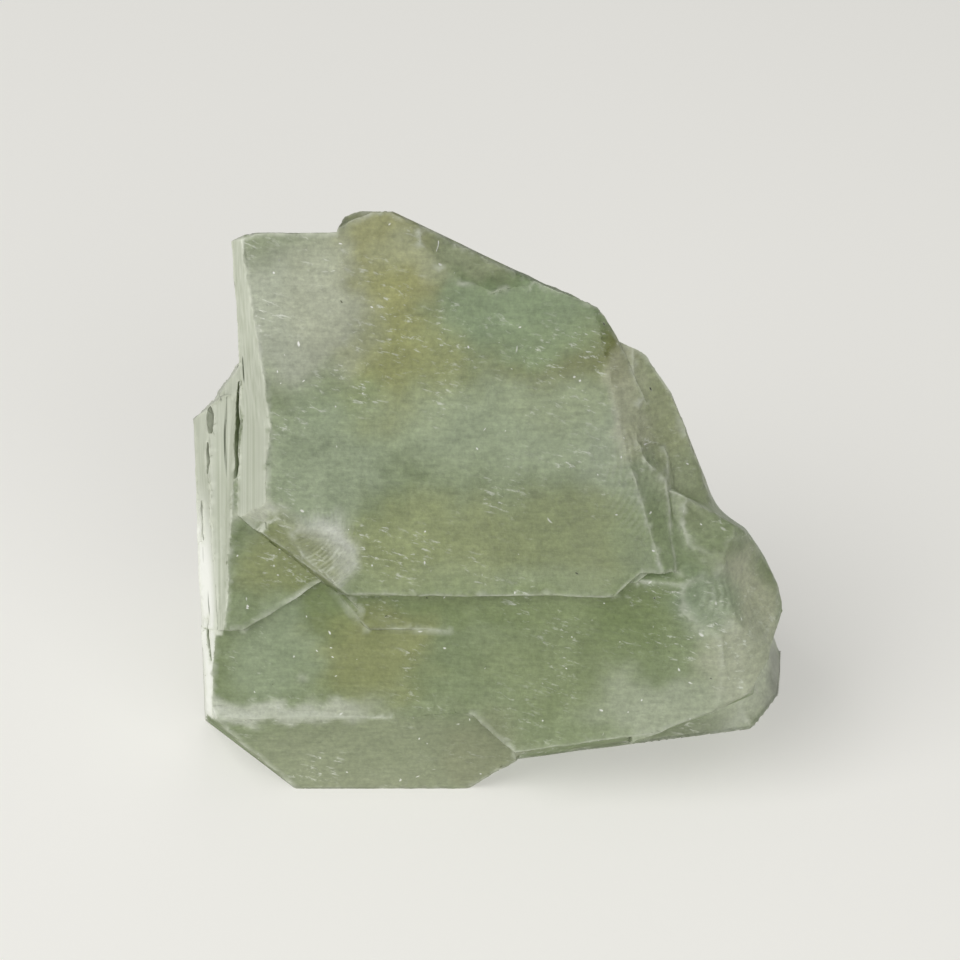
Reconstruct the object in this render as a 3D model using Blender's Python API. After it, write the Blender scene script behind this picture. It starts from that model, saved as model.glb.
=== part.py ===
"""Apophyllite specimen: a hand-sized group of clear green crystals grown together.

Three crystals lie over each other like shingles and face the same way: the big upper one,
a thinner plate under it and the low wide one with its foot on the table. More crystals
stand behind them, and the right-hand end is broken into curved, shell-like fractures. All
of it grew as one mass, so it is one solid.

Lengths are in millimetres here and turned to metres where the meshes are made. The front
faces -Y, the right-hand end +X, and the specimen rests on z = 0. A face is (heading, rise,
point): heading is the way it faces in degrees round from the front, positive to the right,
rise is how far it looks up from level, and the point is any point that it passes through.
"""
import math

import bmesh
import bpy
from mathutils import Matrix, Vector

MM = 0.001                      # one millimetre in metres
BLANK = 160.0                   # edge of the block that each crystal is cut from
WELD = 0.01                     # corners nearer together than this become one
CRYSTAL_GREEN = (0.29, 0.38, 0.22, 1.0)

# Front faces of the three shingled crystals and of the foot, which the other faces meet.
UPPER_FRONT = (0, 31.8, (0.0, -13.7, 18.5))
UPPER_FRONT_HIGH = (0.5, 34.5, (0.0, -7.7, 28.18))      # above its faint crease
PLATE_FRONT = (0, 31.8, (0.0, -13.85, 14.65))
LOWER_FRONT = (-2.5, 20, (-6.3, -15.9, 8.2))
LOWER_FRONT_HIGH = (-2.5, 33, (-12.0, -12.74, 16.2))    # leans back behind the plate
FOOT_FRONT = (0, -5, (0.0, -15.2, 0.0))
LEFT_STRIP = (-50, 16.4, (-20.7, -12.35, 16.15))
LEFT_STRIP_HIGH = (-50, 20.2, (-20.7, -12.15, 16.5))
LEFT_END = (-84, 1.4, (-22.05, -12.4, 12.2))
BOTTOM_LEFT_CUT = (-47, -33, (-18.3, -15.6, 4.1))
BELOW = (0, -90, (0.0, 0.0, -4.0))      # crystals run on below the table before the base is cut

UPPER_SIDES = (
    (-26.5, 7, (-18.8, -9.0, 22.85)),     # narrow bevel across the lower left corner
    (-42.5, -28, (-18.8, -9.0, 22.85)),   # underside of that corner
    (0, -58, (0.0, -13.7, 18.5)),         # underside of the overhang
    (180, 58, (-7.0, 2.6, 43.6)),         # top
    (137, 51, (3.1, 0.0, 39.7)),          # long slope down to the right
    (101, 22, (10.3, -2.3, 36.1)),        # right shoulder
    (34, 36, (9.8, -4.0, 33.5)),          # pale bevel along the broken right edge
    (72, 20, (13.6, -6.6, 29.2)),
    (0, -90, (0.0, 0.0, 6.0)),
)
UPPER_CRYSTAL = UPPER_SIDES + (
    UPPER_FRONT,
    UPPER_FRONT_HIGH,
    (56, -36.4, (10.5, -13.7, 18.5)),     # lower right corner
    (-98, -4, (-10.6, 0.0, 34.0)),        # where the mass behind the thin corner begins
    (-118, 62, (-9.6, 2.0, 43.0)),        # its worn top corner
    (176, 22, (0.0, 11.0, 24.0)),         # back
    (125, 18, (9.0, 6.0, 25.0)),          # right-hand back edge
)
UPPER_CRYSTAL_CORNER = UPPER_SIDES + (
    UPPER_FRONT,
    UPPER_FRONT_HIGH,
    (0, -58, (14.4, -12.7, 20.1)),        # its lower edge steps up beside the corner
    (-90, 0, (6.0, 0.0, 24.0)),
    (180, 10, (0.0, -2.0, 24.0)),
    (110, 16, (14.4, -6.0, 25.0)),
)
CORNER_STEP = (
    (0, 31.8, (14.4, -12.35, 20.1)),      # pale step under the corner, nearly flush with the lower front
    (2, -58, (14.4, -12.85, 19.3)),
    (56, -36.4, (10.9, -13.55, 18.15)),
    (76, 4, (16.3, -12.8, 19.5)),
    (0, 90, (0.0, 0.0, 20.4)),
    (-90, 0, (6.0, 0.0, 20.0)),
    (180, 0, (0.0, -8.0, 20.0)),
)
THIN_CORNER = UPPER_SIDES + (
    UPPER_FRONT,
    UPPER_FRONT_HIGH,
    (180, -29, (0.0, -8.5, 22.4)),        # back of the thin clear corner
    (180, 57, (-14.0, 1.6, 42.3)),
    (-100, 66, (-17.9, 1.4, 42.1)),       # its blunt top left corner
    (82, 4, (-9.4, 0.0, 34.0)),
)
THIN_CORNER_ABOVE = THIN_CORNER + (
    (-43, 20.3, (-16.3, -6.7, 29.85)),    # striated left side
)
THIN_CORNER_BELOW = THIN_CORNER + (
    (-44.5, 26, (-16.3, -6.75, 29.7)),    # the same, lower down
    (-23.7, 0.2, (-18.8, -9.0, 22.85)),   # small facet at its foot
)
PLATE = (
    (-50, 24.7, (-18.95, -5.35, 28.35)),  # striated left side
    (-106, 31, (-20.0, -3.1, 31.3)),      # top, sloping down to the left
    (-95, 0, (-21.2, -4.0, 24.0)),        # where it ends on the lower crystal
    (0, -58, (0.0, -13.6, 15.05)),        # underside of its lower edge
    (53, -42, (4.7, -13.55, 15.1)),       # its lower right corner
    (90, 0, (8.0, 0.0, 20.0)),
    (180, 40, (0.0, 2.0, 30.0)),
    (176, 6, (0.0, 12.0, 12.0)),
    (0, -90, (0.0, 0.0, 7.0)),
)
PLATE_LEFT_OF_NOTCH = PLATE + (
    PLATE_FRONT,
    (50, -45.5, (-12.4, -11.55, 18.4)),
)
PLATE_RIGHT_OF_NOTCH = PLATE + (
    (0, 31.8, (0.0, -13.82, 14.65)),
    (-61, -32, (-12.25, -11.55, 18.4)),
)
LOWER_TOP = (
    LOWER_FRONT,
    LOWER_FRONT_HIGH,
    (-117, 40, (-21.8, -2.3, 28.4)),      # top, sloping down to the left
    (180, 48, (0.0, -1.5, 29.0)),         # top, sloping down to the back
    (125, 35, (12.0, -3.0, 24.0)),
    (178, 8, (0.0, 11.0, 10.0)),
)
LOWER_CRYSTAL = LOWER_TOP + (
    (0, -5, (0.0, -15.25, 0.0)),
    LEFT_STRIP,
    LEFT_STRIP_HIGH,
    LEFT_END,
    BOTTOM_LEFT_CUT,
    (-94, 1, (-22.7, 0.0, 15.0)),         # left side behind the strips
    (70, 8, (2.6, -15.6, 4.7)),
    (45, -40, (1.9, -15.3, 2.5)),
    BELOW,
)
LOWER_CRYSTAL_RIGHT_HALF = (
    LOWER_FRONT,
    (4, 60, (14.4, -12.8, 19.2)),         # narrow top facet, behind the step
    (-56, -35, (1.6, -16.9, 6.6)),        # where it stands out past the foot
    (11, -46, (2.6, -17.3, 5.7)),         # undercut
    (30, -46, (14.4, -17.05, 7.65)),
    (60, 8, (19.0, -15.6, 11.0)),         # where the rounded lobe takes over
    (100, 20, (20.0, -8.0, 12.0)),
    (125, 35, (12.0, -3.0, 24.0)),
    (178, 8, (0.0, 11.0, 10.0)),
    (-90, 0, (-12.0, 0.0, 10.0)),
    BELOW,
)
FOOT = (
    FOOT_FRONT,
    (0, 58, (0.0, -15.9, 8.1)),           # narrow shelf on top of the foot
    (-52, 16.4, (-20.6, -12.35, 16.15)),
    (-83, 2, (-21.95, -12.4, 12.2)),
    (-93, 1, (-22.6, 0.0, 15.0)),
    (-47, -32, (-18.2, -15.6, 4.1)),
    (70, 10, (2.0, -15.6, 4.7)),
    (45, -40, (1.9, -15.4, 2.5)),
    (180, 0, (0.0, 6.0, 5.0)),
    BELOW,
)
RIGHT_CRYSTAL = (
    (35, 30, (14.15, -7.1, 25.0)),
    (0, 33, (0.0, -12.4, 18.5)),
    (0, 0, (0.0, -10.5, 20.0)),
    (133, 49, (12.1, -2.3, 33.9)),
    (108, 31, (14.1, -2.5, 31.7)),
    (99, 20, (17.1, -4.6, 25.6)),
    (140, 22, (14.0, 6.5, 18.0)),
    (172, 16, (8.0, 12.5, 12.0)),
    (86, 3, (22.4, -6.0, 12.0)),
    (-90, 0, (-6.0, 0.0, 20.0)),
    (0, -90, (0.0, 0.0, 7.0)),
)
RIGHT_LOBE = (
    (-2.5, 20, (-6.3, -15.87, 8.2)),      # carries on the lower front, then turns to the right
    (5, 36, (17.3, -13.6, 16.6)),
    (12, 24, (18.6, -14.5, 14.6)),
    (28, 26, (20.1, -14.2, 14.6)),
    (46, 27, (21.4, -13.4, 14.6)),
    (66, 27, (22.5, -12.1, 14.6)),
    (135, 48, (20.1, -6.3, 20.5)),
    (107, 29, (22.0, -6.6, 18.6)),
    (100, 22, (23.6, -7.6, 15.7)),
    (84, 3, (24.4, -9.2, 12.7)),
    (80, -27, (22.5, -13.9, 11.5)),       # rim of the overhang
    (72, -17.5, (21.6, -15.5, 10.3)),
    (45, -45, (20.2, -16.5, 10.0)),
    (30, -46, (14.4, -17.0, 7.65)),
    (140, 12, (20.0, 3.0, 10.0)),
    (-90, 0, (12.0, 0.0, 10.0)),
    (0, -90, (0.0, 0.0, 2.0)),
)
FLOOR_LAYER = (
    (11, 22, (12.0, -9.85, 0.0)),
    (-40, 20, (3.0, -11.6, 0.0)),
    (60, 26, (23.3, -6.9, 0.0)),
    (82, 20, (25.5, -2.6, 0.0)),
    (102, 20, (26.2, 2.5, 0.0)),
    (150, 30, (20.0, 8.0, 1.0)),
    (182, 10, (0.0, 9.0, 1.0)),
    (-20, 78, (14.0, -2.0, 3.4)),
    (-90, 0, (-4.0, 0.0, 0.0)),
    BELOW,
)
REAR_LEFT_CRYSTAL = (
    (-88, 5, (-20.5, 3.0, 12.0)),
    (-138, 14, (-17.5, 12.0, 10.0)),
    (180, 33, (-10.0, 13.5, 12.0)),
    (180, -4, (-10.0, 16.5, 6.0)),
    (-120, 50, (-14.0, 3.0, 24.0)),
    (120, 30, (-2.0, 10.0, 14.0)),
    (0, 20, (0.0, -3.0, 10.0)),
    (90, 4, (8.0, 0.0, 10.0)),
    BELOW,
)
REAR_RIGHT_CRYSTAL = (
    (168, 28, (8.0, 12.5, 10.0)),
    (172, -2, (8.0, 15.5, 4.0)),
    (112, 18, (19.0, 7.0, 8.0)),
    (-125, 20, (-5.0, 12.0, 10.0)),
    (130, 60, (10.0, 5.0, 18.0)),
    (4, 18, (0.0, -5.0, 10.0)),
    (-86, 4, (-12.0, 0.0, 8.0)),
    (72, 12, (20.0, -3.0, 4.0)),
    BELOW,
)

CRYSTALS = (UPPER_CRYSTAL, UPPER_CRYSTAL_CORNER, CORNER_STEP, THIN_CORNER_ABOVE,
            THIN_CORNER_BELOW, PLATE_LEFT_OF_NOTCH, PLATE_RIGHT_OF_NOTCH, LOWER_CRYSTAL,
            LOWER_CRYSTAL_RIGHT_HALF, FOOT, RIGHT_CRYSTAL, RIGHT_LOBE, FLOOR_LAYER,
            REAR_LEFT_CRYSTAL, REAR_RIGHT_CRYSTAL)
CUT_FLAT_BASE = ((0, 90, (0.0, 0.0, 0.0)),)

# Shell-like breaks: where the break dips deepest, the way its surface faces there, how
# deep it goes, its radius of curvature and the point that its ripples spread from.
BREAKS = (
    ((13.4, -6.9, 28.4), (60, 34), 0.9, 9.0, (14.0, -3.0, 34.0)),
    ((15.9, -10.4, 23.0), (64, 30), 0.6, 5.0, (14.0, -14.0, 20.0)),
    ((0.0, 0.9, 41.0), (8, 48), 1.1, 14.0, (-6.0, 2.5, 43.0)),
    ((-12.5, -11.8, 21.6), (-8, 30), 0.3, 6.0, (-14.6, -10.4, 23.6)),
    ((21.9, -9.6, 16.6), (48, 32), 0.45, 8.0, (24.5, -8.0, 15.5)),
    ((18.3, -13.0, 17.3), (16, 34), 0.45, 5.0, (21.0, -9.5, 19.0)),
    ((4.0, 13.0, 20.0), (172, 26), 1.6, 16.0, (9.0, 8.0, 28.0)),
    ((-9.0, 15.0, 10.0), (-172, 26), 1.2, 12.0, (-14.0, 12.0, 14.0)),
    ((18.5, 3.0, 18.0), (112, 26), 1.3, 11.0, (16.0, 0.0, 24.0)),
    ((-22.4, 3.0, 13.0), (-98, 8), 0.8, 11.0, (-21.0, 8.0, 19.0)),
)
BREAK_SEGMENTS = (28, 60)
RIPPLE = 0.012                  # height of a ripple as a share of the break's radius
RIPPLE_TURN = math.radians(9)   # angle between one ripple and the next

# Clefts between the left sides: their middle, length, width and depth.
CLEFTS = (
    ((-21.3, -4.2, 28.8), 2.6, 0.5, 1.2),
    ((-21.4, -5.7, 26.2), 3.2, 0.35, 0.8),
    ((-21.9, -7.8, 21.7), 4.2, 0.3, 0.8),
    ((-21.4, -12.8, 13.4), 4.6, 0.3, 0.8),
    ((-19.1, -5.2, 28.4), 9.5, 0.5, 1.0),
)


def outward(heading, rise):
    """Unit normal of a face from its heading and rise in degrees."""
    turn = math.radians(heading)
    lift = math.radians(rise)
    return Vector((math.sin(turn) * math.cos(lift), -math.cos(turn) * math.cos(lift), math.sin(lift)))


def crystal(form, faces):
    """Add a convex crystal: a block with everything outside each of its faces cut away."""
    block = bmesh.new()
    bmesh.ops.create_cube(block, size=BLANK)
    for heading, rise, point in faces:
        everything = block.verts[:] + block.edges[:] + block.faces[:]
        cut = bmesh.ops.bisect_plane(block, geom=everything, dist=1e-4, clear_outer=True,
                                     plane_co=Vector(point), plane_no=outward(heading, rise))
        rim = [item for item in cut["geom_cut"] if isinstance(item, bmesh.types.BMEdge)]
        if rim:
            bmesh.ops.contextual_create(block, geom=rim)
    add(form, block)


def rippled_ball(form, deepest, facing, depth, radius, struck):
    """Add a ball that leaves a shell-like break: a shallow dish with ripples round one point."""
    centre = Vector(deepest) + outward(*facing) * (radius - depth)
    pole = (Vector(struck) - centre).normalized()
    ball = bmesh.new()
    bmesh.ops.create_uvsphere(ball, u_segments=BREAK_SEGMENTS[0],
                              v_segments=BREAK_SEGMENTS[1], radius=1.0)
    for corner in ball.verts:
        away = math.acos(max(-1.0, min(1.0, corner.co.z)))
        corner.co *= radius * (1.0 + RIPPLE * math.cos(2.0 * math.pi * away / RIPPLE_TURN) * 0.5)
    turn = pole.to_track_quat("Z", "Y").to_matrix().to_4x4()
    ball.transform(Matrix.Translation(centre) @ turn)
    add(form, ball)


def cleft(form, middle, length, width, depth):
    """Add a narrow spindle that opens a cleft up the left sides and goes straight into them."""
    along = Vector((0.0, math.sin(math.radians(34)), math.cos(math.radians(34))))
    into = -outward(LEFT_STRIP[0], LEFT_STRIP[1])
    across = along.cross(into).normalized()
    slot = bmesh.new()
    bmesh.ops.create_icosphere(slot, subdivisions=1, radius=1.0)
    for corner in slot.verts:
        place = Vector(middle) + along * corner.co.x * length * 0.5
        corner.co = place + across * corner.co.y * width * 0.5 + into * corner.co.z * depth
    add(form, slot)


def add(form, piece):
    """Put one closed piece, facing outwards and all triangles, beside the others."""
    bmesh.ops.recalc_face_normals(piece, faces=piece.faces[:])
    if piece.calc_volume(signed=True) < 0.0:
        bmesh.ops.reverse_faces(piece, faces=piece.faces[:])
    bmesh.ops.triangulate(piece, faces=piece.faces[:])
    mesh = bpy.data.meshes.new("piece")
    piece.to_mesh(mesh)
    piece.free()
    form.from_mesh(mesh)
    bpy.data.meshes.remove(mesh)


def solid(name, form):
    """Turn a bmesh in millimetres into an object in metres."""
    form.transform(Matrix.Scale(MM, 4))
    mesh = bpy.data.meshes.new(name)
    form.to_mesh(mesh)
    form.free()
    body = bpy.data.objects.new(name, mesh)
    bpy.context.scene.collection.objects.link(body)
    return body


for item in list(bpy.data.objects):
    bpy.data.objects.remove(item, do_unlink=True)

grown = bmesh.new()
for faces in CRYSTALS:
    crystal(grown, faces)
gone = bmesh.new()
for shape in BREAKS:
    rippled_ball(gone, *shape)
for shape in CLEFTS:
    cleft(gone, *shape)
crystal(gone, CUT_FLAT_BASE)

group = solid("crystal_group", grown)
away = solid("broken_away", gone)
step = group.modifiers.new("broken_away", "BOOLEAN")
step.operation = "DIFFERENCE"
step.object = away
step.solver = "EXACT"
step.use_self = True

# Keep the finished skin as the group's own mesh, centred over the origin and resting on z = 0.
shape = group.evaluated_get(bpy.context.evaluated_depsgraph_get())
skin = bmesh.new()
skin.from_mesh(bpy.data.meshes.new_from_object(shape))
bmesh.ops.remove_doubles(skin, verts=skin.verts[:], dist=WELD * MM)
bmesh.ops.dissolve_degenerate(skin, edges=skin.edges[:], dist=WELD * MM)
bmesh.ops.triangulate(skin, faces=skin.faces[:])
across = [corner.co.x for corner in skin.verts]
deep = [corner.co.y for corner in skin.verts]
middle = Vector((min(across) + max(across), min(deep) + max(deep), 0.0)) * 0.5
bmesh.ops.translate(skin, verts=skin.verts[:], vec=-middle)
group.modifiers.clear()
skin.to_mesh(group.data)
skin.free()
bpy.data.objects.remove(away, do_unlink=True)

green = bpy.data.materials.new("apophyllite")
green.use_nodes = True
shader = green.node_tree.nodes["Principled BSDF"]
shader.inputs["Base Color"].default_value = CRYSTAL_GREEN
shader.inputs["Roughness"].default_value = 0.2
shader.inputs["Metallic"].default_value = 0.0
group.data.materials.append(green)
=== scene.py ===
"""Green apophyllite specimen on a pale table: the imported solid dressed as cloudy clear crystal.

The solid's mesh is copied, cut finer, worn along its arrises and swelled where it broke, and
then stands for the solid. The front faces -Y. Places on the crystals are given in millimetres
from the point that their faces were laid out from, and at() turns them to metres.
"""
import math

import bmesh
import bpy
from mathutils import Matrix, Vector, noise
from mathutils.kdtree import KDTree


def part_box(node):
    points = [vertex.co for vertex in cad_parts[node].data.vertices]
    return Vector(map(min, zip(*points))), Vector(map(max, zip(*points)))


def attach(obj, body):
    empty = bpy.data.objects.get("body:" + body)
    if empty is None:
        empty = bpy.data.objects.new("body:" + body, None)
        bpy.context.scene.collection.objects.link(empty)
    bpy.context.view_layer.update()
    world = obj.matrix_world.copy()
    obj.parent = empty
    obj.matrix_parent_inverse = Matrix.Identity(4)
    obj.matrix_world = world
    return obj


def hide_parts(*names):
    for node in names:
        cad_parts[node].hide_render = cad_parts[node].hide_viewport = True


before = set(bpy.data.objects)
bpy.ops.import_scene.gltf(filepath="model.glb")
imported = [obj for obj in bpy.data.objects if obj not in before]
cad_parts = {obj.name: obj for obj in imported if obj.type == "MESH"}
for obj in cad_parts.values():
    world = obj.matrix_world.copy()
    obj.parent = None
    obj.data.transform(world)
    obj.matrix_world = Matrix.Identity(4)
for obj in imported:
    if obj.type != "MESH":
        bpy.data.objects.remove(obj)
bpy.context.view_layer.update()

MM = 0.001
LAID_OUT_FROM = Vector((1.486, 0.701, 0.0))     # the group's plan middle, seen from that point


def at(*place):
    """A place on the crystals, from millimetres to metres."""
    return (Vector(place) - LAID_OUT_FROM) * MM


def linear(hex_colour):
    """A colour from its sRGB hex value, in the linear values that the shaders work in."""
    parts = [int(hex_colour[i:i + 2], 16) / 255.0 for i in (1, 3, 5)]
    return [p / 12.92 if p <= 0.04045 else ((p + 0.055) / 1.055) ** 2.4 for p in parts] + [1.0]


def only(thing):
    """Leave just this object selected and active."""
    if bpy.context.object and bpy.context.object.mode != "OBJECT":
        bpy.ops.object.mode_set(mode="OBJECT")
    bpy.ops.object.select_all(action="DESELECT")
    thing.select_set(True)
    bpy.context.view_layer.objects.active = thing


# ---------------------------------------------------------------- the crystal group's skin

MERGE_WITHIN = 0.002 * MM
SAME_PLANE = math.radians(0.4)          # triangles that bend less than this are one flat face
ARRIS_BEND = math.radians(28.0)         # faces that meet outwards at more than this make an arris
ARRIS_STEP = 0.1 * MM                   # between the points that are noted along an arris
MOST_ROUNDS = 14                        # of halving edges
COARSE = 0.78 * MM                      # longest edge out on a face
FINE = 0.26 * MM                        # longest edge beside an arris at the front
FINE_BEHIND = 0.42 * MM                 # and at the back, which is
BEHIND_Y = 0.002                        # past this plane
TOP_Z = 0.036                           # and under this height
NEARLY_FLAT = math.radians(2.0)         # an edge that bends less than this may be turned
FINE_REACH = 0.20 * MM                  # how far from an arris the fine edges go
PALE_REACH = 0.26 * MM                  # how far from an arris the paler line, of bruising and painted edge highlight, fades out

# Swells: their height in mm, turns per mm, and how far off in the noise they are read.
FACE_SWELLS = ((0.04, 0.25, (0.0, 0.0, 0.0)), (0.005, 1.1, (0.0, 0.0, 0.0)))
LOBE_SWELLS = ((0.40, 0.42, (3.0, 5.0, 1.0)), (0.10, 1.3, (0.0, 0.0, 0.0)))
SHEET_SWELLS = ((0.55, 0.30, (7.0, 2.0, 0.0)), (0.16, 0.9, (0.0, 0.0, 0.0)))
CHIPS = ((1.1, 0.9, (0.0, 0.0, 0.0)), (0.6, 2.3, (9.0, 0.0, 4.0)))
CHIPS_ABOVE = 0.25                      # the noise makes chips only where it is higher
CHIP_DEPTH = 0.26
DRIFTS = ((0.30, 0.13, 1.0), (0.16, 0.45, 5.0), (0.05, 1.3, 8.0))      # mm, turns per mm, shift
NOISE_SEED = 7                          # noise_vector follows the clock unless it is seeded
FOOT_HEIGHT = 0.3                       # corners under this stay at their height, in mm

# Softening: the mark it follows, how strong it is, and how often it is repeated.
SOFTENED = (
    ("arris", "arris_nearness", 0.5, 2),
    ("lobe", "broken_end", 0.7, 60),
    ("sheet", "low_sheet", 0.6, 20),
)


def copy_of_solid(node, name):
    """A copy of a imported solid's mesh, its loose triangles merged into one closed skin."""
    piece = bpy.data.objects.new(name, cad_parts[node].data.copy())
    bpy.context.scene.collection.objects.link(piece)
    only(piece)
    bpy.ops.object.mode_set(mode="EDIT")
    bpy.ops.mesh.select_all(action="SELECT")
    bpy.ops.mesh.remove_doubles(threshold=MERGE_WITHIN)
    bpy.ops.mesh.dissolve_limited(angle_limit=SAME_PLANE)
    bpy.ops.mesh.quads_convert_to_tris(quad_method="BEAUTY", ngon_method="BEAUTY")
    bpy.ops.object.mode_set(mode="OBJECT")
    bpy.ops.mesh.customdata_custom_splitnormals_clear()
    return piece


def arris_points(piece):
    """Points along all the edges that bend outwards enough to be arrises."""
    form = bmesh.new()
    form.from_mesh(piece.data)
    points = []
    for edge in form.edges:
        if len(edge.link_faces) == 2 and edge.calc_face_angle_signed(0.0) > ARRIS_BEND:
            first, last = (corner.co.copy() for corner in edge.verts)
            count = max(1, math.ceil((last - first).length / ARRIS_STEP))
            points += [first.lerp(last, step / count) for step in range(count + 1)]
    form.free()
    tree = KDTree(len(points))
    for index, point in enumerate(points):
        tree.insert(point, index)
    tree.balance()
    return tree


def cut_finer(piece, arrises):
    """Halve the longest edges until all are short, shortest of all beside the arrises."""
    only(piece)
    bpy.ops.object.mode_set(mode="EDIT")
    bpy.ops.mesh.select_mode(type="EDGE")
    for _ in range(MOST_ROUNDS):
        form = bmesh.from_edit_mesh(piece.data)
        long_ones = []
        for edge in form.edges:
            length = edge.calc_length()
            edge.select_set(False)
            if length > COARSE:
                long_ones.append(edge)
            elif length > FINE:
                middle = (edge.verts[0].co + edge.verts[1].co) * 0.5
                behind = middle.y > BEHIND_Y and middle.z < TOP_Z
                short = behind and length < FINE_BEHIND
                if not short and arrises.find(middle)[2] < FINE_REACH:
                    long_ones.append(edge)
        if not long_ones:
            break
        for edge in long_ones:
            edge.select_set(True)
        bmesh.update_edit_mesh(piece.data)
        bpy.ops.mesh.subdivide(number_cuts=1, quadcorner="INNERVERT")
        bpy.ops.mesh.select_all(action="SELECT")
        bpy.ops.mesh.quads_convert_to_tris(quad_method="SHORTEST_DIAGONAL", ngon_method="BEAUTY")
        bpy.ops.mesh.beautify_fill(angle_limit=NEARLY_FLAT)
    bpy.ops.object.mode_set(mode="OBJECT")


def fade(value, start, end):
    """0 at start, 1 at end, eased between."""
    t = min(1.0, max(0.0, (value - start) / (end - start)))
    return t * t * (3.0 - 2.0 * t)


def swells(place, rows):
    """The height at a place of smooth swells laid over each other."""
    return sum(high * noise.noise(place * turns + Vector(off)) for high, turns, off in rows)


def chips(place):
    """How deep an arris is chipped at a place, where 1 is deep; 0 between the chips."""
    return sum(max(0.0, noise.noise(place * turns + Vector(off)) - CHIPS_ABOVE) * deep
               for deep, turns, off in CHIPS)


def drifting(place):
    """A smooth vector that wanders from place to place, in mm."""
    return sum((noise.noise_vector(place * turns + Vector((off, 2.0 * off, 3.0 * off))) * far
                for far, turns, off in DRIFTS), Vector())


def on_side(place, facing):
    """1 on the striated faces, which face left at the left end and stand nearly upright."""
    left = -math.degrees(math.atan2(facing.x, -facing.y))
    turned_left = fade(left, 28.0, 36.0) * (1.0 - fade(left, 128.0, 140.0))
    return turned_left * (fade(-place.x, 13.0, 14.5) * (1.0 - fade(facing.z, 0.56, 0.70))
                          * fade(facing.z, -0.3, -0.1))


def on_broken_end(place):
    """1 on the lobe at the right-hand end."""
    return fade(place.x, 14.5, 18.5) * (1.0 - fade(place.z, 20.5, 23.5)) * fade(place.z, 4.0, 8.0)


def on_low_sheet(place, facing):
    """1 on the rim of the low layer on the table."""
    return (fade(place.x, 3.0, 6.0) * (1.0 - fade(place.z, 5.5, 7.5))
            * (1.0 - fade(abs(facing.z), 0.8, 0.95)))


def wear(piece, arrises):
    """Make the arrises wander, round and chip them, soften the broken end, note where each is."""
    noise.seed_set(NOISE_SEED)
    mesh = piece.data
    leans = [Vector() for _ in mesh.vertices]
    for face in mesh.polygons:
        for index in face.vertices:
            leans[index] += face.normal * face.area
    marks = {"arris_nearness": [], "striated_side": [], "broken_end": [], "low_sheet": [],
             "ground_face": []}
    moves = []
    for corner, lean in zip(mesh.vertices, leans):
        facing = lean.normalized()
        place = corner.co / MM + LAID_OUT_FROM
        near = 1.0 - fade(arrises.find(corner.co)[2], 0.0, PALE_REACH)
        lobe = on_broken_end(place)
        sheet = on_low_sheet(place, facing)
        marks["arris_nearness"].append(near)
        marks["striated_side"].append(on_side(place, facing))
        marks["broken_end"].append(lobe)
        marks["low_sheet"].append(sheet)
        marks["ground_face"].append(fade(-facing.z, 0.05, 0.35))
        bulge = lobe * swells(place, LOBE_SWELLS)
        bulge += sheet * swells(place, SHEET_SWELLS)
        bulge += swells(place, FACE_SWELLS) - CHIP_DEPTH * near * chips(place)
        drift = drifting(place)
        drift -= facing * drift.dot(facing) * (1.0 - near)      # out on a face it stays in the face
        move = facing * bulge + drift * fade(place.z, 0.0, 2.5)
        if place.z < FOOT_HEIGHT:
            move.z = 0.0
        moves.append(move * MM)
    for corner, move in zip(mesh.vertices, moves):
        corner.co += move
    only(piece)
    for name, mark, factor, repeats in SOFTENED:
        group = piece.vertex_groups.new(name=name)
        for index, weight in enumerate(marks[mark]):
            if weight > 0.0:
                group.add([index], min(1.0, weight * 1.3), "REPLACE")
        softer = piece.modifiers.new(name, "SMOOTH")
        softer.vertex_group = name
        softer.factor = factor
        softer.iterations = repeats
        softer.use_z = name != "sheet"      # the low layer keeps its height
        bpy.ops.object.modifier_apply(modifier=name)
    for name, values in marks.items():
        piece.data.attributes.new(name, "FLOAT", "POINT").data.foreach_set("value", values)


def keep_in_box(piece, box):
    """Hold every corner inside the solid's own box, with its foot flat on the table."""
    for corner in piece.data.vertices:
        for axis in range(3):
            corner.co[axis] = min(box[1][axis], max(box[0][axis], corner.co[axis]))


crystals = copy_of_solid("crystal_group", "apophyllite_crystals")
arrises = arris_points(crystals)
cut_finer(crystals, arrises)
wear(crystals, arrises)
keep_in_box(crystals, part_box("crystal_group"))


# ---------------------------------------------------------------- materials

def node(tree, kind, links=(), **settings):
    """Add a node with its settings; links are (input, from node, output)."""
    made = tree.nodes.new(kind)
    values = {key: value for key, value in settings.items() if key.startswith("in_")}
    for key, value in settings.items():
        if key not in values:
            setattr(made, key, value)
    for key, value in values.items():
        spot = key[3:]
        made.inputs[int(spot) if spot.isdigit() else spot].default_value = value
    for spot, source, output in links:
        tree.links.new(source.outputs[output], made.inputs[spot])
    return made


def new_material(name):
    """A material with only its output node."""
    made = bpy.data.materials.new(name)
    made.use_nodes = True
    made.node_tree.nodes.clear()
    return made
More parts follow.
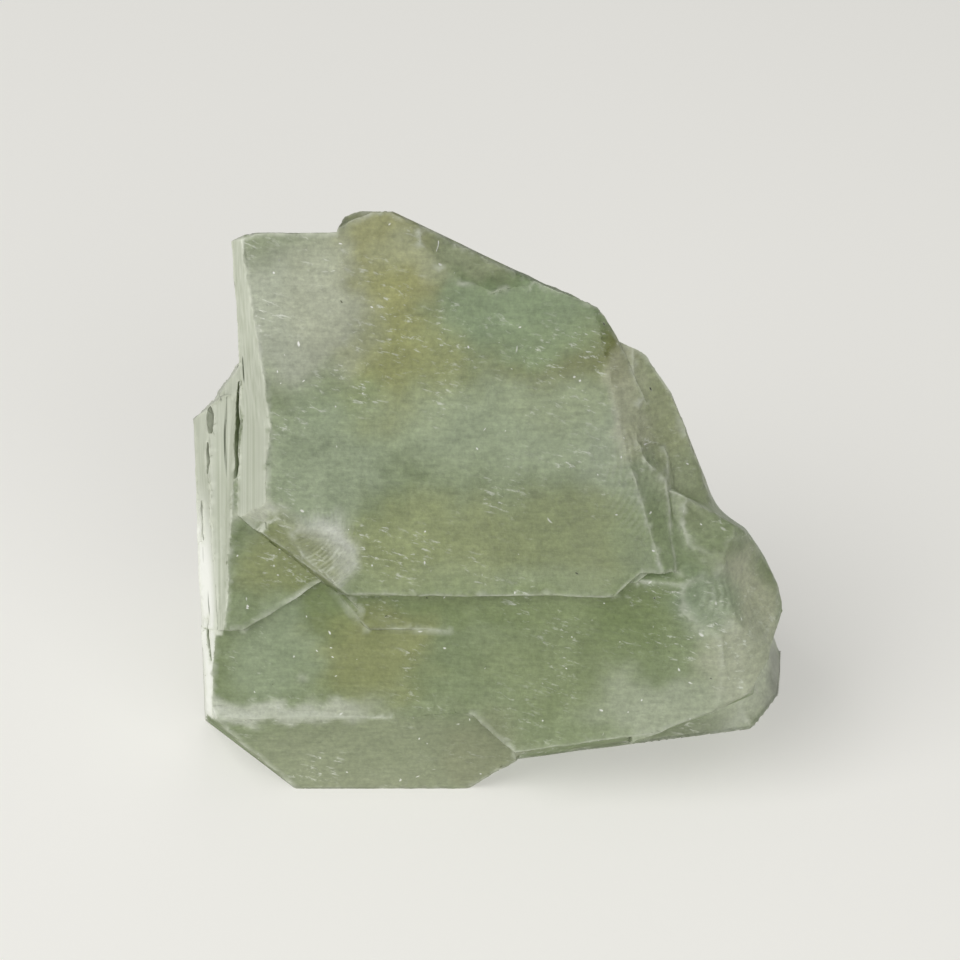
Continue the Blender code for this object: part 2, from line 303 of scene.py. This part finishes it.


# Colour zones in the stone, painted shade and painted light among them: their middle in mm, radii in
# mm, strength and colour.
ZONES = (
    ((0.0, -15.0, 10.5), (26.0, 12.0, 5.2), 0.60, "#88956C"),    # deeper green in the lower crystal
    ((-7.5, 0.5, 40.0), (3.4, 4.0, 5.0), 0.80, "#B4B27C"),      # olive under the top
    ((-8.2, -2.5, 36.4), (3.4, 4.0, 4.6), 0.85, "#A8A968"),
    ((-6.6, -4.6, 33.0), (5.0, 4.0, 3.4), 0.75, "#A3A769"),
    ((7.0, -4.3, 33.0), (5.6, 4.0, 3.2), 0.70, "#868748"),      # olive at the right shoulder
    ((3.5, -1.6, 36.6), (5.6, 4.0, 2.6), 0.75, "#93A77E"),      # teal below the top break
    ((-11.0, -5.2, 31.8), (3.0, 3.0, 2.0), 0.55, "#97AA80"),
    ((-14.6, -1.7, 36.6), (5.2, 5.0, 4.6), 0.85, "#B2B7A4"),    # milky haze in the thin corner
    ((-15.1, 1.2, 41.6), (4.0, 3.0, 1.4), 0.50, "#949A84"),
    ((4.6, -6.6, 29.9), (10.0, 4.0, 3.0), 0.75, "#AEBB99"),     # pale band above the crease: painted light, a bright haze where light comes in from behind
    ((12.0, -8.0, 27.4), (3.4, 4.0, 4.0), 0.60, "#A5B095"),
    ((-3.9, -11.6, 21.9), (6.2, 4.0, 3.4), 0.70, "#9FA76E"),    # olive low on the upper crystal
    ((7.6, -11.2, 22.6), (5.2, 4.0, 3.0), 0.65, "#919A63"),
    ((1.6, -13.4, 19.0), (9.0, 3.0, 1.5), 0.50, "#A1AC82"),
    ((-12.4, -8.3, 27.2), (4.0, 4.0, 4.4), 0.60, "#AEBB9D"),
    ((13.6, -11.0, 22.0), (3.2, 3.0, 3.4), 0.45, "#98A883"),
    ((-12.5, -11.8, 21.6), (2.6, 2.6, 2.6), 0.75, "#EAEBE3"),   # silvery break, lower left
    ((-14.9, -10.9, 19.4), (3.2, 4.0, 3.2), 0.85, "#929962"),   # olive on the plate
    ((-11.6, -12.6, 16.6), (2.2, 3.0, 2.2), 0.80, "#6C7B47"),   # painted shade: deep green in the notch, a recess
    ((2.0, -12.4, 16.9), (12.0, 3.0, 1.7), 0.55, "#889760"),    # painted shade: deeper green under the overhang
    ((-16.2, -13.6, 12.7), (3.6, 3.0, 3.4), 0.75, "#A1AE8F"),
    ((-8.3, -13.8, 13.0), (4.0, 3.0, 3.6), 0.80, "#969962"),    # olive low on the left
    # painted shade: darker green just under the right part of the overhang's edge
    ((12.0, -13.4, 16.2), (4.0, 3.0, 3.0), 0.65, "#778751"),
    ((6.0, -15.0, 12.0), (5.0, 3.0, 3.0), 0.40, "#8B9667"),
    ((-16.4, -15.3, 8.5), (7.0, 1.6, 0.9), 0.85, "#DBDED0"),    # painted light: the pale shelf over the foot faces up to the lamps
    ((15.5, -16.2, 9.3), (6.0, 3.0, 2.2), 0.85, "#B1B8A0"),     # milky lower edge
    ((21.6, -12.0, 16.6), (3.6, 4.0, 4.6), 0.80, "#CACAB1"),    # pinkish grey lobe
    ((21.2, -14.8, 12.4), (3.2, 3.0, 3.6), 0.85, "#BCBFA8"),
    ((18.1, -13.2, 17.6), (2.2, 3.0, 2.2), 0.70, "#90A183"),
    ((-8.0, -15.5, 3.8), (10.0, 3.0, 4.6), 0.55, "#A0A488"),    # browner foot
    ((0.4, -15.5, 3.6), (3.2, 3.0, 3.6), 0.60, "#8D906F"),
    ((15.1, -4.5, 28.6), (2.6, 4.0, 2.6), 0.60, "#AEAF7B"),
    ((11.9, -5.2, 31.0), (1.5, 3.0, 4.0), 0.70, "#CAC9B0"),     # pinkish grey broken edge
    ((-2.0, 0.8, 40.9), (4.6, 3.0, 1.5), 0.55, "#B3B897"),      # paler in the top break
    ((24.0, -2.0, 2.5), (5.0, 9.0, 3.0), 0.80, "#C4CAB5"),      # milky floor layer
    ((-11.9, -0.8, 38.4), (2.6, 4.0, 5.0), 0.55, "#B3B79E"),    # the haze thinning towards the top
    ((16.0, -3.0, 27.0), (4.0, 6.0, 8.0), 0.60, "#B5BC99"),     # paler along the right shoulder
    ((18.0, -13.5, 1.5), (8.0, 5.0, 1.6), 0.75, "#858A76"),     # painted shade: darker along the floor layer's front, under the overhang
    ((26.0, -5.0, 2.5), (1.8, 8.0, 3.4), 0.85, "#83877A"),      # and painted shade at its thick rim
    ((-17.2, -9.7, 23.8), (1.8, 1.8, 1.0), 0.90, "#D8DBC8"),    # pale facet at the foot of the side
)


# Ripples on the shell-like breaks: the point struck, their spacing, the break's middle and radii,
# and the height, all but the last in mm.
RIPPLES = (
    ((6.0, -7.5, 27.0), 0.50, (13.0, -8.6, 26.0), (2.6, 3.0, 4.6), 0.55),
    ((-14.6, -10.4, 23.6), 0.34, (-12.4, -11.9, 21.4), (2.2, 2.4, 2.4), 2.2),
    ((19.0, -9.0, 21.0), 1.10, (22.6, -10.0, 14.6), (2.4, 4.0, 4.0), 2.0),
    ((17.0, -14.0, 18.6), 0.60, (18.6, -13.0, 17.0), (1.2, 2.0, 1.4), 1.6),
)

IOR = 1.535
ABSORBS_TO = "#9DB88C"
ABSORPTION = 55.0                       # per metre
RELIEF_HEIGHT = 0.00008                 # of the streaks, lines and frosting, in metres
ZONE_BEND = 0.0028                      # how far the colour zones are bent, in metres
GROWTH_LINES_LEAN = (34.0, 0.0, 0.0)    # of the lines on the left sides, in degrees
FLECKS_LEAN = (12.0, -16.0, 9.0)
CRUST_LEAN = (1000.0, 0.0, -73.3)       # across the edge of the lapping crust: mm to the left


def noisy(tree, source, output, scale, octaves, rough, **settings):
    """Noise over the source's coordinates."""
    return node(tree, "ShaderNodeTexNoise", [("Vector", source, output)], in_2=scale, in_3=octaves,
                in_4=rough, **settings)


def ramp(tree, source, output, start, end, low=0.0, high=1.0):
    """A value carried from start and end to low and high, and held there beyond them."""
    return node(tree, "ShaderNodeMapRange", [("Value", source, output)], in_1=start, in_2=end,
                in_3=low, in_4=high)


def product(tree, first, first_output, second, second_output=0):
    """Two values multiplied."""
    return node(tree, "ShaderNodeMath", [(0, first, first_output), (1, second, second_output)],
                operation="MULTIPLY")


def painted(tree, below, output, share, tint):
    """A colour with this share of a tint over it."""
    return node(tree, "ShaderNodeMix", [(0, share, 0), (6, below, output)], data_type="RGBA",
                in_7=linear(tint))


def zone(tree, places, middle, radii, strength, sharp):
    """This strength in the middle of a ball-shaped zone, easing to 0 at its radii."""
    output = 3 if places.bl_idname == "ShaderNodeTexCoord" else 0
    reach = Vector([1.0 / (radius * 1.6 * MM) for radius in radii])
    spot = node(tree, "ShaderNodeVectorMath", [(0, places, output)], operation="MULTIPLY_ADD",
                in_1=reach, in_2=-Vector(at(*middle)) * reach)
    ball = node(tree, "ShaderNodeTexGradient", [("Vector", spot, 0)], gradient_type="SPHERICAL")
    return node(tree, "ShaderNodeMapRange", [("Value", ball, 1)], interpolation_type="SMOOTHSTEP",
                in_1=0.0, in_2=sharp, in_4=strength)


def turned(tree, source, turn, fineness, shift=(0.0, 0.0, 0.0)):
    """Object coordinates turned by these degrees, then stretched to noise cells per metre."""
    spun = node(tree, "ShaderNodeMapping", [("Vector", source, 3)])
    spun.inputs["Rotation"].default_value = [math.radians(angle) for angle in turn]
    return node(tree, "ShaderNodeVectorMath", [(0, spun, 0)], operation="MULTIPLY_ADD",
                in_1=fineness, in_2=shift)


def rippled(tree, flat, place, uneven, struck, spacing, reach):
    """A height with rings this far apart in mm round the point that was struck, in a zone."""
    away = node(tree, "ShaderNodeVectorMath", [(0, place, 3)], operation="DISTANCE",
                in_1=at(*struck))
    turns = node(tree, "ShaderNodeMath", [(0, away, 1), (2, uneven, 0)],
                 operation="MULTIPLY_ADD", in_1=2.0 * math.pi / (spacing * MM))
    ring = node(tree, "ShaderNodeMath", [(0, turns, 0)], operation="SINE")
    return node(tree, "ShaderNodeMath", [(0, ring, 0), (1, reach, 0), (2, flat, 0)],
                operation="MULTIPLY_ADD")


def bent_places(tree, place, output):
    """Growth zoning is never even: coordinates bent by a slow noise, 4 mm from swell to swell."""
    slow = noisy(tree, place, output, 250.0, 2.0, 0.6)
    bend = node(tree, "ShaderNodeMapRange", [("Vector", slow, 1)], data_type="FLOAT_VECTOR",
                in_7=(0.0, 0.0, 0.0), in_8=(1.0, 1.0, 1.0),
                in_9=(-ZONE_BEND,) * 3, in_10=(ZONE_BEND,) * 3)
    return node(tree, "ShaderNodeVectorMath", [(0, place, output), (1, bend, 1)], operation="ADD")


def note_zones(piece):
    """Note at each corner the colour that the zones, painted shade and painted light among them, lay
    over the stone there, and in zone_through how much of the stone's own colour they leave. It saves
    the shader 160 nodes."""
    tree = bpy.data.node_groups.new("colour_zones", "GeometryNodeTree")
    tree.interface.new_socket("Geometry", in_out="INPUT", socket_type="NodeSocketGeometry")
    tree.interface.new_socket("Geometry", in_out="OUTPUT", socket_type="NodeSocketGeometry")
    shape = node(tree, "NodeGroupInput")
    bent = bent_places(tree, node(tree, "GeometryNodeInputPosition"), 0)
    laid = node(tree, "ShaderNodeMix", data_type="RGBA", in_0=0.0, in_6=linear("#000000"))
    through = node(tree, "ShaderNodeMix", data_type="RGBA", in_0=0.0, in_6=linear("#FFFFFF"))
    for middle, radii, strength, tint in ZONES:
        share = zone(tree, bent, middle, radii, strength, 0.55)
        laid = painted(tree, laid, 2, share, tint)
        through = painted(tree, through, 2, share, "#000000")
    for name, values in (("zone_colour", laid), ("zone_through", through)):
        shape = node(tree, "GeometryNodeStoreNamedAttribute",
                     [("Geometry", shape, 0), ("Value", values, 2)],
                     data_type="FLOAT_VECTOR", domain="POINT", in_Name=name)
    node(tree, "NodeGroupOutput", [(0, shape, 0)])
    only(piece)
    piece.modifiers.new("colour_zones", "NODES").node_group = tree
    bpy.ops.object.modifier_apply(modifier="colour_zones")


def cloudy_apophyllite():
    """Cloudy green apophyllite: a glassy skin over see-through stone with milky and olive zones, and
    painted shade and light.
    """
    made = new_material("apophyllite")
    tree = made.node_tree
    place = node(tree, "ShaderNodeTexCoord")

    bent = bent_places(tree, place, 3)

    # Body colour: sage between two tones in 3 mm clouds, then the zones.
    clouds = noisy(tree, bent, 0, 330.0, 4.0, 0.6)
    spread = ramp(tree, clouds, 0, 0.32, 0.68)
    colour = node(tree, "ShaderNodeMix", [(0, spread, 0)], data_type="RGBA",
                  in_6=linear("#839167"), in_7=linear("#9BA882"))
    laid = node(tree, "ShaderNodeAttribute", attribute_name="zone_colour")
    through = node(tree, "ShaderNodeAttribute", attribute_name="zone_through")
    colour = node(tree, "ShaderNodeVectorMath", [(0, colour, 2), (1, through, 1), (2, laid, 1)],
                  operation="MULTIPLY_ADD")

    # Growth streaks, level on the front faces: 0.3 mm high and six times as long. A finer grain.
    level = node(tree, "ShaderNodeVectorMath", [(0, place, 3)], operation="MULTIPLY",
                 in_1=(520.0, 1500.0, 3100.0))
    streaks = noisy(tree, level, 0, 1.0, 3.0, 0.7)
    streaky = ramp(tree, streaks, 0, 0.30, 0.70, 0.88, 1.12)
    fine = noisy(tree, place, 3, 2300.0, 2.0, 0.75)
    grain = ramp(tree, fine, 0, 0.25, 0.75, 0.80, 1.20)
    both = product(tree, streaky, 0, grain)
    colour = node(tree, "ShaderNodeVectorMath", [(0, colour, 0), (1, both, 0)],
                  operation="MULTIPLY")

    # White flecks: healed cracks that catch the light, in drifts a few millimetres across.
    drift = node(tree, "ShaderNodeTexNoise", [("Vector", place, 3)], in_2=170.0, in_3=2.0)
    drifts = ramp(tree, drift, 0, 0.49, 0.66, 0.05, 1.0)
    long_way = turned(tree, place, FLECKS_LEAN, (1000.0, 1600.0, 3300.0))
    wisps = noisy(tree, long_way, 0, 1.0, 3.0, 0.70, in_8=0.35)
    flecks = product(tree, ramp(tree, wisps, 0, 0.57, 0.69, 0.0, 0.90), 0, drifts)
    pale = painted(tree, colour, 0, flecks, "#ECEFE4")

    # Pin-point sparkles about 0.2 mm across, in one in four of cells 1.1 mm apart: white specks of
    # # micro-fractures, painted as glints. A few specks are dark.
    cells = node(tree, "ShaderNodeTexVoronoi", [("Vector", bent, 0)], in_2=900.0)
    dot = ramp(tree, cells, 0, 0.13, 0.07)
    pick = node(tree, "ShaderNodeSeparateColor", [(0, cells, 1)])
    chosen = node(tree, "ShaderNodeMath", [(0, pick, 0)], operation="GREATER_THAN", in_1=0.74)
    glinted = painted(tree, pale, 2, product(tree, dot, 0, chosen), "#FFFFFA")
    dark_pick = node(tree, "ShaderNodeMath", [(0, pick, 1)], operation="GREATER_THAN", in_1=0.965)
    body_colour = painted(tree, glinted, 2, product(tree, dot, 0, dark_pick), "#4A4F38")

    # The striated crust laps round on to the front of the left end, with a ragged edge.
    leaning = node(tree, "ShaderNodeVectorMath", [(0, place, 3)], operation="DOT_PRODUCT",
                   in_1=CRUST_LEAN)
    ragged = node(tree, "ShaderNodeMath", [(0, fine, 0), (2, leaning, 1)],
                  operation="MULTIPLY_ADD", in_1=0.3)
    lapped = ramp(tree, ragged, 0, -22.60, -22.75)
    height = node(tree, "ShaderNodeSeparateXYZ", [(0, place, 3)])
    upper = ramp(tree, height, 2, 14.1 * MM, 14.3 * MM)
    lap = product(tree, lapped, 0, upper)

    # Striated sides: near white, ruled with growth lines up the crystal, dark slits among them. The
    # near white is partly the pale striated skin and partly painted light, the glare of the key light
    # on faces turned left.
    marked = node(tree, "ShaderNodeAttribute", attribute_name="striated_side")
    side = node(tree, "ShaderNodeMath", [(0, marked, 2), (1, lap, 0)], operation="MAXIMUM")
    upright = turned(tree, place, GROWTH_LINES_LEAN, (5600.0, 4600.0, 24.0))
    ruling = noisy(tree, upright, 0, 1.0, 2.0, 0.6)
    ruled = ramp(tree, ruling, 0, 0.25, 0.70)
    side_lit_colour = node(tree, "ShaderNodeMix", [(0, ruled, 0)], data_type="RGBA",
                       in_6=linear("#AFB5A0"), in_7=linear("#CBCFBF"))
    # Painted reflection: the outermost left strip goes nearly white, as glare at a grazing angle.
    outer_side_glare = zone(tree, place, (-22.2, -12.0, 13.0), (1.1, 6.0, 10.0), 1.0, 0.5)
    side_lit_colour = painted(tree, side_lit_colour, 2, outer_side_glare, "#FAFBF4")
    slit_way = turned(tree, place, GROWTH_LINES_LEAN, (2300.0, 1900.0, 95.0), (5.3, 2.1, 0.7))
    slits = noisy(tree, slit_way, 0, 1.0, 2.0, 0.4)
    side_marked = painted(tree, side_lit_colour, 2, ramp(tree, slits, 0, 0.67, 0.72), "#4E5540")
    sided = node(tree, "ShaderNodeMix", [(0, side, 0), (6, body_colour, 2), (7, side_marked, 2)],
                 data_type="RGBA")

    # Arrises go white in a broken line, which is faint on the lobe: partly bruised stone and partly a
    # painted highlight along the edges.
    arris = node(tree, "ShaderNodeAttribute", attribute_name="arris_nearness")
    broken = noisy(tree, place, 3, 800.0, 3.0, 0.6)
    patchy = ramp(tree, broken, 0, 0.34, 0.60, 0.15, 0.75)
    lobe = node(tree, "ShaderNodeAttribute", attribute_name="broken_end")
    softly = ramp(tree, lobe, 2, 0.0, 1.0, 1.0, 0.25)
    rim = product(tree, arris, 2, product(tree, patchy, 0, softly))
    rimmed = painted(tree, sided, 2, rim, "#DDE1D0")

    # Skin: from glassy to satin in clouds, and matt on the faces that look down at the table.
    dull = ramp(tree, clouds, 0, 0.3, 0.7, 0.30, 0.48)
    ground = node(tree, "ShaderNodeAttribute", attribute_name="ground_face")
    duller = node(tree, "ShaderNodeMix", [(0, ground, 2), (2, dull, 0)], data_type="FLOAT",
                  in_3=0.85)

    # See-through share: less in the hazy thin corner, and least on the striated sides.
    clear = ramp(tree, spread, 0, 0.0, 1.0, 0.50, 0.38)
    hazy = zone(tree, bent, (-15.5, 0.0, 37.0), (4.0, 4.0, 7.0), 1.0, 0.4)
    less_clear = node(tree, "ShaderNodeMath", [(0, hazy, 0), (2, clear, 0)],
                      operation="MULTIPLY_ADD", in_1=-0.18)
    clearness = product(tree, less_clear, 0, ramp(tree, side, 0, 0.0, 1.0, 1.0, 0.35))

    # Relief: growth streaks and a fine frosting on the faces, growth lines on the sides, rings on
    # the breaks, and none on the faces that look down at the table.
    flat = node(tree, "ShaderNodeMath", [(0, streaks, 0), (1, fine, 0)], operation="ADD")
    uneven = node(tree, "ShaderNodeMath", [(0, streaks, 0)], operation="MULTIPLY", in_1=5.0)
    for struck, spacing, middle, radii, high in RIPPLES:
        reach = zone(tree, place, middle, radii, high, 0.5)
        flat = rippled(tree, flat, place, uneven, struck, spacing, reach)
    relief = node(tree, "ShaderNodeMix", [(0, side, 0), (2, flat, 0), (3, ruling, 0)],
                  data_type="FLOAT")
    fading = ramp(tree, ground, 2, 0.0, 1.0, 0.2, 0.0)
    bump = node(tree, "ShaderNodeBump", [("Strength", fading, 0), ("Height", relief, 0)],
                in_1=RELIEF_HEIGHT)

    out = node(tree, "ShaderNodeOutputMaterial")
    body = node(tree, "ShaderNodeBsdfPrincipled",
                [("Base Color", rimmed, 2), ("Roughness", duller, 0),
                 ("Transmission Weight", clearness, 0), ("Normal", bump, 0)])
    body.inputs["IOR"].default_value = IOR
    tint = node(tree, "ShaderNodeVolumeAbsorption")
    tint.inputs["Color"].default_value = linear(ABSORBS_TO)
    tint.inputs["Density"].default_value = ABSORPTION
    tree.links.new(body.outputs["BSDF"], out.inputs["Surface"])
    tree.links.new(tint.outputs["Volume"], out.inputs["Volume"])
    return made


note_zones(crystals)
crystals.data.materials.clear()
crystals.data.materials.append(cloudy_apophyllite())
only(crystals)
bpy.ops.object.shade_smooth_by_angle(angle=ARRIS_BEND)
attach(crystals, "root")
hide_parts("crystal_group")


# ---------------------------------------------------------------- table, light and camera

TABLE_WIDTH = 4.0
CARD_GLOW = 0.34
ROOM_LIGHT = 0.26

# Soft boxes: their name, place and aim in metres, width in metres and power in watts.
SOFT_BOXES = (
    ("key_upper_left", (-0.42, -0.28, 0.55), (0.0, 0.0, 0.02), 0.6, 3.6),
    ("fill_front_right", (0.25, -0.60, 0.30), (0.01, 0.0, 0.01), 0.5, 2.0),
)

LENS = 100.0                            # in mm, with a sensor of
SENSOR = 36.0                           # mm
LOOKED_AT = (0, 0, 20)                  # in mm, as the places on the crystals
CAMERA_LIFT = math.radians(35.0)
CAMERA_AWAY = 0.218


def matt_white_card():
    """Matt white card, a little lit from within as a light table is, so shadows stay thin."""
    made = new_material("matt_white_card")
    tree = made.node_tree
    out = node(tree, "ShaderNodeOutputMaterial")
    body = node(tree, "ShaderNodeBsdfPrincipled")
    body.inputs["Base Color"].default_value = linear("#CCCBC6")
    body.inputs["Roughness"].default_value = 0.8
    body.inputs["Emission Color"].default_value = linear("#FBFAF6")
    body.inputs["Emission Strength"].default_value = CARD_GLOW
    tree.links.new(body.outputs["BSDF"], out.inputs["Surface"])
    return made


def soft_box(name, place, aim, width, power):
    """A square area light at a place, turned to a point."""
    lamp = bpy.data.lights.new(name, "AREA")
    lamp.size = width
    lamp.energy = power
    made = bpy.data.objects.new(name, lamp)
    made.location = place
    made.rotation_euler = (Vector(aim) - Vector(place)).to_track_quat("-Z", "Y").to_euler()
    bpy.context.scene.collection.objects.link(made)


bpy.ops.object.select_all(action="DESELECT")
bpy.ops.mesh.primitive_plane_add(size=TABLE_WIDTH, location=(0.0, 0.0, 0.0))
table = bpy.context.object
table.name = "table_top"
table.data.materials.append(matt_white_card())

world = bpy.data.worlds.new("soft_room")
world.use_nodes = True
world.node_tree.nodes["Background"].inputs["Color"].default_value = linear("#F6F5F2")
world.node_tree.nodes["Background"].inputs["Strength"].default_value = ROOM_LIGHT
bpy.context.scene.world = world

for row in SOFT_BOXES:
    soft_box(*row)

camera = bpy.data.objects.new("camera", bpy.data.cameras.new("camera"))
bpy.context.scene.collection.objects.link(camera)
camera.data.lens = LENS
camera.data.sensor_width = SENSOR
camera.data.clip_start = 0.01
towards_camera = Vector((0.0, -math.cos(CAMERA_LIFT), math.sin(CAMERA_LIFT)))
camera.location = at(*LOOKED_AT) + towards_camera * CAMERA_AWAY
camera.rotation_euler = (math.radians(90.0) - CAMERA_LIFT, 0.0, 0.0)
bpy.context.scene.camera = camera
bpy.context.scene.view_settings.view_transform = "Standard"
